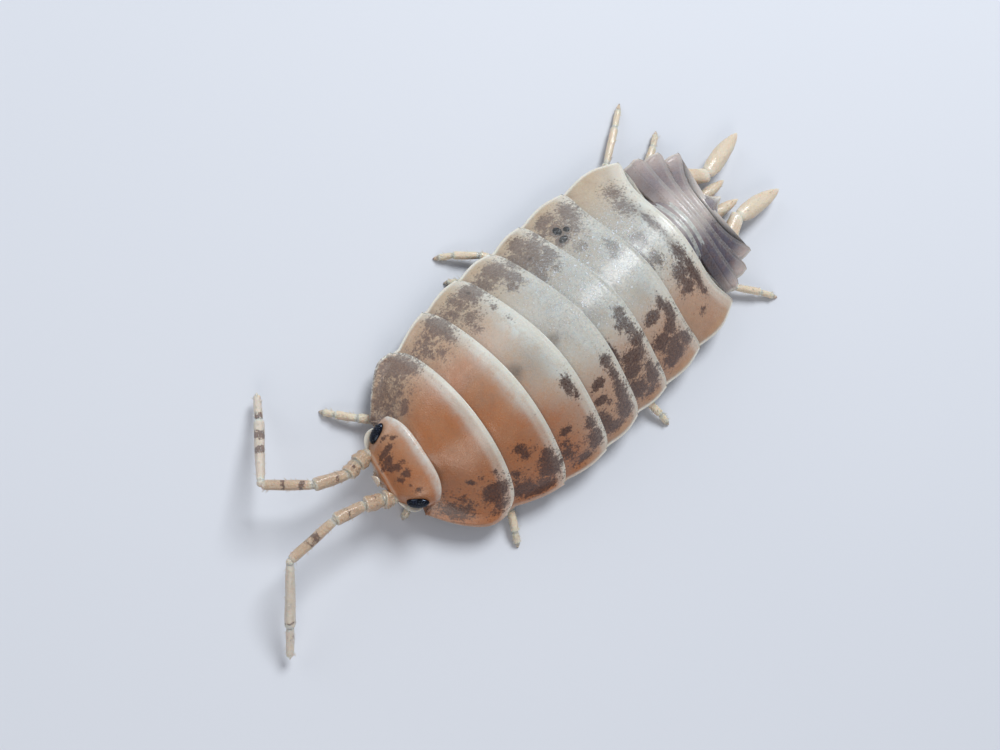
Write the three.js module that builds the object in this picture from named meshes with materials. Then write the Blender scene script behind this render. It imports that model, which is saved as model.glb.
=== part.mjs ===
// A smooth, piebald woodlouse at life size, walking with its feelers raised.
// Millimetres, +Z up, the head towards -Y, +X on the animal's left.
import * as THREE from 'three';

// Plan: distances from the front of the head, measured along a straight body
const HEAD_FRONT = 0.35;
const HEAD_REAR = 1.92;
const TRUNK_REARS = [3.92, 5.8, 7.64, 9.28, 10.82, 12.73, 14.86];
const PLEON_REARS = [15.3, 15.7, 16.1, 16.5, 16.95];
const TELSON_TIP = 18.5;

// Half widths at each plate's rear corners, and how far those corners sweep back
const TRUNK_WIDTHS = [3.68, 4.19, 4.33, 4.23, 4.25, 4.1, 3.64];
const TRUNK_SWEEPS = [-0.23, -0.08, 0.1, 0.26, 0.4, 0.75, 1.25];
const TRUNK_BULGES = [0.58, 0.1, 0.12, 0.12, 0.1, 0.15, 0.25];
const PLEON_WIDTHS = [2.4, 2.6, 3.25, 2.98, 2.48];
const PLEON_SWEEPS = [0.35, 0.35, 0.8, 1.2, 1.45];
const TRUNK_SWEEP_POWER = 4;
const PLEON_SWEEP_POWER = 2.5;
const HEAD_SWEEP = -0.33;
const HEAD_HALF_WIDTH = 1.8;
const TRUNK_ROUND = [0.25, 0.1, 0.1, 0.1, 0.1, 0.1, 0.1];
const PLEON_ROUND = 0.1;
const PLEON_BULGE = 0.06;

// Head: where its sections lie from the face to the back of the crown, and how it narrows at the face
const HEAD_STEPS = [0, 0.1, 0.3, 0.55, 0.8, 1];
const HEAD_TAPER = 0.8;
const HEAD_DROP = 0.8;
const HEAD_LOW = 1.0;
const CHIN_RISE = 0.3;
const BOXINESS = 0.85;
const HEAD_SIDES = 24;

// Eye: its place along and round the head, and the sizes of a low oval dome just off the surface
const EYE = { place: 0.34, angle: 0.5, length: 0.42, width: 0.22, height: 0.16, off: 0.07 };
const EYE_SIDES = 12;

// Heights above the floor
const HEAD_RIDGE = 2.7;
const TRUNK_RIDGES = [3.45, 3.76, 3.96, 4.0, 3.88, 3.57, 3.11];
const PLEON_RIDGES = [2.92, 2.74, 2.56, 2.36, 2.14];
const TRUNK_EDGE = 0.95;
const PLEON_EDGE = 0.85;
const BELLY = 1.05;
const EDGE_HALF_THICKNESS = 0.12;
const FLAP_THICKNESS = 0.6;

// The plates tuck under each other by a small step, with a fine gap between them
const STEP_DOWN = 0.1;
const TUCK_IN = 0.06;
const GAP = 0.04;
const ACROSS = 18;

// First plate: its front corners reach forward on both sides of the head
const COLLAR_HALF_WIDTH = 2.05;
const COLLAR_REACH = 0.5;
const COLLAR_POWER = 14;
const COLLAR_ROUND = 0.25;
const COLLAR_ROUND_FROM = 0.92;

// The spine's curve seen from above: x = bow * a^2 + twist * a^3, with a counted from the middle
const SPINE_MIDDLE = 7;
const SPINE_BOW = -0.0086;
const SPINE_TWIST = 0.00075;
const SPINE_FROM = 1;
const SPINE_TO = 18;

// Legs: where each foot stands, as [distance from the midline, distance along the body], with a sideways bow
const COXA_Y = [2.9, 4.9, 6.7, 8.5, 10.05, 11.8, 13.6];
const COXA_X = [1.25, 1.6, 1.75, 1.75, 1.75, 1.65, 1.45];
const FEET = {
  left: [[1.75, 0.35], [5.1, 3.15], [4.05, 5.9], [4.15, 8.1], [5.6, 10.4], [3.95, 14.0], [4.85, 18.5]],
  right: [[3.35, -0.25], [3.9, 4.7], [4.0, 6.05], [4.7, 7.4], [5.7, 7.75], [5.75, 18.0], [3.9, 18.6]],
};
const BOWS = {
  left: [0.35, 0.2, 0.15, 0.1, 0, -0.3, -0.3],
  right: [0.25, 0.2, 0.15, -0.55, -0.75, -0.3, -0.3],
};
const LEG_HEIGHTS = [[0.12, 0.74], [0.35, 0.56], [0.72, 0.46], [0.9, 0.27], [1, 0]];
const LEG_RADIUS = 0.25;
const FOOT_RADIUS = 0.16;

// Feelers: joint centres as [distance from the midline, distance along the body, height]
const FEELERS = {
  left: {
    peduncle: [
      [0.86, 0.28, 1.6], [0.71, -0.05, 1.75], [0.53, -0.72, 1.9], [0.43, -1.9, 2.2], [0.82, -3.86, 2.2],
    ],
    flagellum: [[0.86, -3.92, 2.17], [2.2, -4.66, 1.43], [3.73, -5.55, 0.55]],
  },
  right: {
    peduncle: [
      [0.98, 0.28, 1.6], [0.88, -0.19, 1.75], [0.72, -0.68, 1.9], [0.99, -1.91, 2.2], [1.91, -3.42, 2.2],
    ],
    flagellum: [[1.99, -3.42, 2.17], [3.4, -2.7, 1.35], [4.92, -1.93, 0.55]],
  },
};
const PEDUNCLE_RADII = [0.3, 0.33, 0.31, 0.29, 0.26];
const FLAGELLUM_RADII = [0.25, 0.25, 0.25];

// Tail plate: half widths, and heights of its rim, ridge and underside, each at its root and its tip
const TELSON_WIDTHS = [1.32, 0.12];
const TELSON_RIM = [1.45, 1.1];
const TELSON_RIDGE = [2.0, 1.18];
const TELSON_UNDER = [1.0, 0.85];

// Tail limbs: a base, a long outer blade and a short inner one on either side
const BASE_INNER = [1.42, 0.8];
const BASE_OUTER = [2.1, 1.45];
const BASE_TOP = [1.3, 1.08];
const BASE_LOW = 0.6;
const BASE_SHOULDER = 0.1;
const BASE_OFF = 0.06;
const BASE_REAR = 18.8;
const EXOPOD_ROOT = [1.12, 18.88, 0.85];
const EXOPOD_TIP = { left: [1.2, 21.4, 0.5], right: [1.8, 21.4, 0.5] };
const EXOPOD_STEPS = [0, 0.3, 0.65, 0.9, 1];
const EXOPOD_RADII = [0.24, 0.35, 0.34, 0.25, 0.12];
const ENDOPOD_ROOT = [0.42, 17.85, 0.52];
const ENDOPOD_TIP = [0.5, 19.4, 0.52];
const ENDOPOD_STEPS = [0, 0.5, 1];
const ENDOPOD_RADII = [0.25, 0.25, 0.16];

// Blocks under the body: from and to along it, half widths in front and behind, lowest and highest point
const MOUTHPARTS = [0.5, 1.7, 0.75, 0.8, 0.5, 0.96];
const PLEOPODS = [15.0, 17.5, 1.5, 0.95, 0.55, 0.95];

// Small shared helpers
const lerp = (a, b, t) => a + (b - a) * t;
const clamp = (v, low, high) => Math.min(Math.max(v, low), high);
const smooth = (low, high, v) => THREE.MathUtils.smoothstep(v, low, high);
const SIDES = [['left', 1], ['right', -1]];

// The height of a plate across the body: 1 on the midline, 0 at either margin
const arch = (s) => Math.cos(Math.PI / 2 * Math.abs(s));

// Moves a point of the straight body onto the curved spine, straight on beyond its ends
function bend(x, y, z) {
  const along = clamp(y, SPINE_FROM, SPINE_TO);
  const a = along - SPINE_MIDDLE;
  const side = SPINE_BOW * a ** 2 + SPINE_TWIST * a ** 3;
  const turn = Math.atan(2 * SPINE_BOW * a + 3 * SPINE_TWIST * a ** 2);
  const beyond = y - along;
  return new THREE.Vector3(
    side + beyond * Math.sin(turn) + x * Math.cos(turn),
    along + beyond * Math.cos(turn) - x * Math.sin(turn),
    z,
  );
}

// A closed solid through rings of equal, even count; each end is closed by strips from side to side
function loft(rings) {
  const count = rings[0].length;
  const positions = rings.flat().flatMap((p) => [p.x, p.y, p.z]);
  const index = [];
  for (let i = 0; i < rings.length - 1; i += 1) {
    for (let j = 0; j < count; j += 1) {
      const a = i * count + j;
      const b = i * count + (j + 1) % count;
      index.push(a, b, b + count, a, b + count, a + count);
    }
  }
  const last = (rings.length - 1) * count;
  for (let j = 0; j < count / 2 - 1; j += 1) {
    const [a, b, c, d] = [j, j + 1, count - 2 - j, count - 1 - j];
    index.push(a, c, b, a, d, c);
    index.push(last + a, last + b, last + c, last + a, last + c, last + d);
  }
  return outward(positions, index);
}

// Makes the geometry, turning every face over where the volume comes out negative
function outward(positions, index) {
  const corner = (i) => new THREE.Vector3().fromArray(positions, 3 * index[i]);
  let volume = 0;
  for (let i = 0; i < index.length; i += 3) {
    volume += corner(i).dot(corner(i + 1).cross(corner(i + 2)));
  }
  const turned = volume < 0 ? index.slice().reverse() : index;
  const geometry = new THREE.BufferGeometry();
  geometry.setAttribute('position', new THREE.Float32BufferAttribute(positions, 3));
  geometry.setIndex(turned);
  geometry.computeVertexNormals();
  return geometry;
}

// A tube with a flat ring at each centre, square to the path; an end of a falling path may lie level instead
function tube(centres, radii, sides = 8, levelStart = false, levelEnd = false) {
  const up = new THREE.Vector3(0, 0, 1);
  const down = new THREE.Vector3(0, 0, -1);
  const overall = centres.at(-1).clone().sub(centres[0]).normalize();
  const rings = centres.map((centre, i) => {
    const before = centres[Math.max(i - 1, 0)];
    const after = centres[Math.min(i + 1, centres.length - 1)];
    const level = (i === 0 && levelStart) || (i === centres.length - 1 && levelEnd);
    const along = level ? overall : after.clone().sub(before).normalize();
    const across = new THREE.Vector3().crossVectors(along, up).normalize();
    const rise = new THREE.Vector3().crossVectors(across, level ? down : along);
    return Array.from({ length: sides }, (_, k) => {
      const angle = 2 * Math.PI * (k + 0.5) / sides;
      return centre.clone()
        .addScaledVector(across, radii[i] * Math.cos(angle))
        .addScaledVector(rise, radii[i] * Math.sin(angle));
    });
  });
  return loft(rings);
}

// Evenly turned steps across a plate, closer together towards its margins
const STEPS = Array.from({ length: ACROSS + 1 }, (_, j) => Math.sin(Math.PI * (j / ACROSS - 0.5)));

// A back plate with its flaps: front and rear give y for a place x, the rest are its sizes
function plate({ front, rear, frontWidth, rearWidth, bulge, frontRidge, rearRidge, edge, round }) {
  const rings = [0, 0.12, 0.4, 0.75, 1].map((t) => {
    const width = lerp(frontWidth, rearWidth, t) + bulge * Math.sin(Math.PI * t);
    const ridge = lerp(frontRidge, rearRidge, t);
    const corner = (s) => round * (t > 0.9 ? 1 : 0) * Math.abs(s) ** 24;
    const at = (s, z) => {
      const y = lerp(front(frontWidth * s), rear(rearWidth * s) - corner(s), t);
      return bend(width * s, y, z);
    };
    const top = (s) => edge + EDGE_HALF_THICKNESS + (ridge - edge - EDGE_HALF_THICKNESS) * arch(s);
    const under = (s) => {
      const flap = Math.max(top(s) - FLAP_THICKNESS, edge - EDGE_HALF_THICKNESS);
      return lerp(BELLY, flap, smooth(0.5, 0.7, Math.abs(s)));
    };
    const upper = STEPS.map((s) => at(s, top(s)));
    const lower = STEPS.map((s) => at(s, under(s))).reverse();
    return [...upper, ...lower];
  });
  return loft(rings);
}

// The curve of a rear margin: straight in the middle, its corners swept back or forward
const margin = (y, sweep, width, power) => (x) => y + sweep * Math.abs(x / width) ** power;

// Head: rings from the face to the back of the crown, each a rounded box
const headRear = margin(HEAD_REAR, HEAD_SWEEP, HEAD_HALF_WIDTH, TRUNK_SWEEP_POWER);
const headFront = (x) => HEAD_FRONT + 0.12 * Math.abs(x / 1.5) ** 8;

// A place on the head: along it from 0 at the face to 1 at the back, and round it
function headPoint(t, angle) {
  const ahead = 1 - t;
  const width = HEAD_HALF_WIDTH - HEAD_TAPER * ahead ** 3.6;
  const low = HEAD_LOW + CHIN_RISE * ahead ** 9;
  const high = HEAD_RIDGE - HEAD_DROP * ahead ** 2.2;
  const [c, s] = [Math.cos(angle), Math.sin(angle)];
  const x = width * Math.sign(c) * Math.abs(c) ** BOXINESS;
  const z = (low + high) / 2 + (high - low) / 2 * Math.sign(s) * Math.abs(s) ** BOXINESS;
  return bend(x, lerp(headFront(x), headRear(x), t), z);
}

function head() {
  const turn = (k) => 2 * Math.PI * (k + 0.5) / HEAD_SIDES + Math.PI / 2;
  return loft(HEAD_STEPS.map((t) => Array.from({ length: HEAD_SIDES }, (_, k) => headPoint(t, turn(k)))));
}

function eye(side) {
  const angle = side > 0 ? EYE.angle : Math.PI - EYE.angle;
  const seat = headPoint(EYE.place, angle);
  const ahead = headPoint(EYE.place - 0.1, angle);
  const after = headPoint(EYE.place + 0.1, angle);
  const above = headPoint(EYE.place, angle + side * 0.1);
  const below = headPoint(EYE.place, angle - side * 0.1);
  const along = after.sub(ahead).normalize();
  const down = below.sub(above).normalize();
  const out = new THREE.Vector3().crossVectors(along, down).normalize();
  if (out.x * side < 0) out.negate();
  const rings = [[0, 1], [0.55, 0.85], [1, 0.4]].map(([rise, size]) => (
    Array.from({ length: EYE_SIDES }, (_, k) => {
      const a = 2 * Math.PI * (k + 0.5) / EYE_SIDES;
      return seat.clone()
        .addScaledVector(out, EYE.off + EYE.height * rise)
        .addScaledVector(along, EYE.length * size * Math.cos(a))
        .addScaledVector(down, EYE.width * size * Math.sin(a));
    })
  ));
  return loft(rings);
}

// A low block with rounded sides under the body, between two distances along it
function underside(from, to, frontWidth, rearWidth, low, high) {
  const rings = [0, 0.3, 0.7, 1].map((t) => {
    const width = lerp(frontWidth, rearWidth, t) + 0.08 * Math.sin(Math.PI * t);
    return Array.from({ length: 12 }, (_, k) => {
      const a = 2 * Math.PI * (k + 0.5) / 12 + Math.PI / 2;
      const [c, s] = [Math.cos(a), Math.sin(a)];
      const x = width * Math.sign(c) * Math.sqrt(Math.abs(c));
      const z = (low + high) / 2 + (high - low) / 2 * Math.sign(s) * Math.sqrt(Math.abs(s));
      return bend(x, lerp(from, to, t), z);
    });
  });
  return loft(rings);
}

// Leg: from its root under the belly out and down to a small flat foot
function leg(sideName, side, number) {
  const root = [COXA_X[number], COXA_Y[number]];
  const foot = FEET[sideName][number];
  const bow = BOWS[sideName][number];
  const length = Math.hypot(foot[0] - root[0], foot[1] - root[1]);
  const normal = [(foot[1] - root[1]) / length, -(foot[0] - root[0]) / length];
  const centres = LEG_HEIGHTS.map(([t, height]) => {
    const push = bow * Math.sin(Math.PI * t);
    const x = lerp(root[0], foot[0], t) + push * normal[0];
    const y = lerp(root[1], foot[1], t) + push * normal[1];
    return bend(side * x, y, height);
  });
  const top = bend(side * root[0], root[1], BELLY - GAP);
  const radii = LEG_HEIGHTS.map(([t]) => (t === 1 ? FOOT_RADIUS : LEG_RADIUS));
  return tube([top, ...centres], [LEG_RADIUS, ...radii], 8, true, true);
}

function feeler(side, joints, radii) {
  return tube(joints.map(([x, y, z]) => bend(side * x, y, z)), radii);
}

// Telson: a pointed plate with hollowed sides
const lastPleonRear = margin(PLEON_REARS[4], PLEON_SWEEPS[4], PLEON_WIDTHS[4], PLEON_SWEEP_POWER);

function telson() {
  const steps = [-1, -0.6, -0.2, 0.2, 0.6, 1];
  const rings = [0, 0.25, 0.5, 0.75, 1].map((t) => {
    const width = lerp(TELSON_WIDTHS[1], TELSON_WIDTHS[0], (1 - t) ** 1.5);
    const root = (s) => lastPleonRear(TELSON_WIDTHS[0] * s) + GAP;
    const at = (s, z) => bend(width * s, lerp(root(s), TELSON_TIP, t), z);
    const rim = lerp(...TELSON_RIM, t);
    const ridge = lerp(...TELSON_RIDGE, t);
    const under = lerp(...TELSON_UNDER, t);
    const upper = steps.map((s) => at(s, rim + (ridge - rim) * arch(s)));
    const lower = steps.map((s) => at(s, under)).reverse();
    return [...upper, ...lower];
  });
  return loft(rings);
}

// Base of a tail limb, beside the tail plate
function uropodBase(side) {
  const rings = [0, 0.5, 1].map((t) => {
    const inner = lerp(...BASE_INNER, t);
    const outer = lerp(...BASE_OUTER, t);
    const middle = (inner + outer) / 2;
    const high = lerp(...BASE_TOP, t);
    const at = (x, z) => bend(side * x, lerp(lastPleonRear(x) + BASE_OFF, BASE_REAR, t), z);
    return [
      at(inner, high - BASE_SHOULDER),
      at(middle, high),
      at(outer, high - BASE_SHOULDER),
      at(outer, BASE_LOW + BASE_SHOULDER),
      at(middle, BASE_LOW),
      at(inner, BASE_LOW + BASE_SHOULDER),
    ];
  });
  return loft(rings);
}

// Outer or inner blade of a tail limb, straight from its root to its tip
function blade(side, root, tip, steps, radii) {
  const centres = steps.map((t) => {
    const [x, y, z] = root.map((value, i) => lerp(value, tip[i], t));
    return bend(side * x, y, z);
  });
  return tube(centres, radii);
}

// Materials
const finish = (color, roughness) => new THREE.MeshStandardMaterial({ color, roughness, metalness: 0 });
const COLOURS = {
  head: () => finish(0xc98a5e, 0.35),
  frontPlate: () => finish(0xd39a70, 0.35),
  plate: () => finish(0xd8cbb8, 0.35),
  pleon: () => finish(0x8f8a94, 0.4),
  eye: () => finish(0x0c0b10, 0.15),
  limb: () => finish(0xe2d3ad, 0.45),
  feeler: () => finish(0xd9bf9b, 0.4),
  belly: () => finish(0xd9d0c0, 0.5),
};

const animal = new THREE.Group();
function add(name, geometry, material) {
  const mesh = new THREE.Mesh(geometry, material());
  mesh.name = name;
  animal.add(mesh);
}

// Head, eyes and the parts under them
add('head', head(), COLOURS.head);
add('mouthparts', underside(...MOUTHPARTS), COLOURS.belly);
for (const [name, side] of SIDES) add(`eye_${name}`, eye(side), COLOURS.eye);

// Trunk plates, from the collar round the head to the last
function collarFront(x) {
  const out = Math.abs(x / COLLAR_HALF_WIDTH);
  const turn = clamp((out - COLLAR_ROUND_FROM) / (1 - COLLAR_ROUND_FROM), 0, 1);
  const blunt = COLLAR_ROUND * (1 - Math.sqrt(1 - turn ** 2));
  return headRear(x) + GAP - COLLAR_REACH * out ** COLLAR_POWER + blunt;
}

let behind = collarFront;
let width = COLLAR_HALF_WIDTH + TUCK_IN;
let ridge = HEAD_RIDGE;
TRUNK_REARS.forEach((y, i) => {
  const rear = margin(y, TRUNK_SWEEPS[i], TRUNK_WIDTHS[i], TRUNK_SWEEP_POWER);
  add(`pereonite_${i + 1}`, plate({
    front: behind,
    rear,
    frontWidth: width - TUCK_IN,
    rearWidth: TRUNK_WIDTHS[i],
    bulge: TRUNK_BULGES[i],
    frontRidge: ridge - STEP_DOWN,
    rearRidge: TRUNK_RIDGES[i],
    edge: TRUNK_EDGE,
    round: TRUNK_ROUND[i],
  }), i < 2 ? COLOURS.frontPlate : COLOURS.plate);
  behind = (x) => rear(x) + GAP;
  width = TRUNK_WIDTHS[i];
  ridge = TRUNK_RIDGES[i];
});

// Tail plates: the first two are short and lie between the last trunk plate's corners
PLEON_REARS.forEach((y, i) => {
  const rear = margin(y, PLEON_SWEEPS[i], PLEON_WIDTHS[i], PLEON_SWEEP_POWER);
  const before = behind;
  add(`pleonite_${i + 1}`, plate({
    front: before,
    rear,
    frontWidth: PLEON_WIDTHS[i] + (i < 2 ? 0 : 0.02),
    rearWidth: PLEON_WIDTHS[i],
    bulge: PLEON_BULGE,
    frontRidge: ridge - STEP_DOWN,
    rearRidge: PLEON_RIDGES[i],
    edge: PLEON_EDGE,
    round: PLEON_ROUND,
  }), COLOURS.pleon);
  behind = (x) => rear(x) + GAP;
  ridge = PLEON_RIDGES[i];
});
add('telson', telson(), COLOURS.pleon);
add('pleopods', underside(...PLEOPODS), COLOURS.belly);

// Limbs
for (const [name, side] of SIDES) {
  add(`antenna_${name}_peduncle`, feeler(side, FEELERS[name].peduncle, PEDUNCLE_RADII), COLOURS.feeler);
  add(`antenna_${name}_flagellum`, feeler(side, FEELERS[name].flagellum, FLAGELLUM_RADII), COLOURS.feeler);
  COXA_Y.forEach((_, i) => add(`leg_${name}_${i + 1}`, leg(name, side, i), COLOURS.limb));
  add(`uropod_base_${name}`, uropodBase(side), COLOURS.limb);
  const outer = blade(side, EXOPOD_ROOT, EXOPOD_TIP[name], EXOPOD_STEPS, EXOPOD_RADII);
  const inner = blade(side, ENDOPOD_ROOT, ENDOPOD_TIP, ENDOPOD_STEPS, ENDOPOD_RADII);
  add(`uropod_exopod_${name}`, outer, COLOURS.limb);
  add(`uropod_endopod_${name}`, inner, COLOURS.limb);
}

// The origin lies on the floor, under the middle of the whole animal's box
const box = new THREE.Box3().setFromObject(animal);
const middle = box.getCenter(new THREE.Vector3());
animal.position.set(-middle.x, -middle.y, -box.min.z);

const woodlouse = new THREE.Group();
woodlouse.add(animal);
export default woodlouse;
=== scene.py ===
# A smooth, piebald woodlouse at life size: fine shell plates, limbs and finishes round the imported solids.
# Shapes are worked out in millimetres on a straight body, bent onto the curved spine and set in the frame.
import math

import bmesh
import bpy
import numpy as np
from mathutils import Matrix, Vector


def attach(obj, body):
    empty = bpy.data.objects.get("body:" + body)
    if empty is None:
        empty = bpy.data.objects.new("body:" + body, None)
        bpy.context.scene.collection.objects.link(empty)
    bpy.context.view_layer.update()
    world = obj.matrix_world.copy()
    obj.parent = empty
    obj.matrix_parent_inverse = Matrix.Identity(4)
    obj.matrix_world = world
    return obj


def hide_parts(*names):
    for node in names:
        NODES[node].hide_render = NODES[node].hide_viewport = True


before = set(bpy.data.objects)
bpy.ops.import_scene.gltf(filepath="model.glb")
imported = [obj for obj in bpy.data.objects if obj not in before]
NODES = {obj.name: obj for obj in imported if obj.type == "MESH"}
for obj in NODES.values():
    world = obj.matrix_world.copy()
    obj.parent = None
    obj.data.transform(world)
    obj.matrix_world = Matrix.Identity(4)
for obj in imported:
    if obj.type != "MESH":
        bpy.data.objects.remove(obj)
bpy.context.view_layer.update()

MM = 0.001

# Plan, widths and heights of the body, as in the solids
HEAD_FRONT = 0.35
HEAD_REAR = 1.92
HEAD_SWEEP = -0.33
HEAD_HALF_WIDTH = 1.8
HEAD_RIDGE = 2.7
TRUNK_REARS = [3.92, 5.8, 7.64, 9.28, 10.82, 12.73, 14.86]
TRUNK_WIDTHS = [3.68, 4.19, 4.33, 4.23, 4.25, 4.1, 3.64]
TRUNK_SWEEPS = [-0.23, -0.08, 0.1, 0.26, 0.4, 0.75, 1.25]
TRUNK_BULGES = [0.58, 0.1, 0.12, 0.12, 0.1, 0.15, 0.25]
TRUNK_RIDGES = [3.45, 3.76, 3.96, 4.0, 3.88, 3.57, 3.11]
TRUNK_ROUNDS = [0.3, 0.16, 0.16, 0.16, 0.16, 0.16, 0.16]
TRUNK_POWER = 4
TRUNK_EDGE = 0.95
PLEON_REARS = [15.3, 15.7, 16.1, 16.5, 16.95]
PLEON_WIDTHS = [2.4, 2.6, 3.25, 2.98, 2.48]
PLEON_SWEEPS = [0.35, 0.35, 0.8, 1.2, 1.45]
PLEON_RIDGES = [2.92, 2.74, 2.56, 2.36, 2.14]
PLEON_BULGE = 0.06
PLEON_ROUND = 0.12
PLEON_POWER = 2.5
PLEON_EDGE = 0.85
TELSON_TIP = 18.5
STEP_DOWN = 0.1
STEP_IN = 0.06
GAP = 0.04
COLLAR_WIDTH = 2.05
COLLAR_REACH = 0.5
COLLAR_POWER = 14
COLLAR_ROUND = 0.25
COLLAR_ROUND_FROM = 0.92

# The spine's curve seen from above
SPINE_MIDDLE = 7
SPINE_BOW = -0.0086
SPINE_TWIST = 0.00075
SPINE_FROM = 1
SPINE_TO = 18

# The shell: its thickness, how far it slides under the plate before, and its rounded rims
SHELL_HALF = 0.055
LIP_HALF = 0.035
LIP_OVER = 0.1
RIM_HALF = 0.09
RIM_OUT = 0.07
TUCK = 0.38
TUCK_DROP = 0.1
PLATE_STEPS = 120
PLATE_RINGS = 34

# Legs, as in the solids: roots, feet from the midline and along the body, and their sideways bows
COXA_Y = [2.9, 4.9, 6.7, 8.5, 10.05, 11.8, 13.6]
COXA_X = [1.25, 1.6, 1.75, 1.75, 1.75, 1.65, 1.45]
FEET = {
    "left": [[1.75, 0.35], [5.1, 3.15], [4.05, 5.9], [4.15, 8.1], [5.6, 10.4], [3.95, 14.0], [4.85, 18.5]],
    "right": [[3.35, -0.25], [3.9, 4.7], [4.0, 6.05], [4.7, 7.4], [5.7, 7.75], [5.75, 18.0], [3.9, 18.6]],
}
BOWS = {
    "left": [0.35, 0.2, 0.15, 0.1, 0, -0.3, -0.3],
    "right": [0.25, 0.2, 0.15, -0.55, -0.75, -0.3, -0.3],
}
LEG_TIMES = [0, 0.12, 0.35, 0.72, 0.9, 1]
LEG_HEIGHTS = [0.95, 0.74, 0.56, 0.46, 0.27, 0.02]

# Feelers, as in the solids: joints as distance from the midline, distance along the body, height
FEELERS = {
    "left": {
        "peduncle": [
            [0.86, 0.28, 1.6], [0.71, -0.05, 1.75], [0.53, -0.72, 1.9], [0.43, -1.9, 2.2],
            [0.82, -3.86, 2.2],
        ],
        "flagellum": [[0.86, -3.92, 2.17], [2.82, -5.03, 1.07], [3.73, -5.55, 0.55]],
    },
    "right": {
        "peduncle": [
            [0.98, 0.28, 1.6], [0.88, -0.19, 1.75], [0.72, -0.68, 1.9], [0.99, -1.91, 2.2],
            [1.91, -3.42, 2.2],
        ],
        "flagellum": [[1.99, -3.42, 2.17], [4.03, -2.35, 0.98], [4.92, -1.93, 0.55]],
    },
}
SIDES = {"left": 1, "right": -1}

# Claws and hairs stay this far above the floor
FLOOR_OFF = 0.004

# Camera: its place above the animal, the picture's right-hand direction and the line of sight
CAMERA_PLACE = (-1.187, -4.043, 37.813)
CAMERA_RIGHT = (0.65891, 0.72069, 0.21551)
CAMERA_FORWARD = (0.0173, 0.27191, -0.96217)
CAMERA_LENS = 36.0

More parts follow.
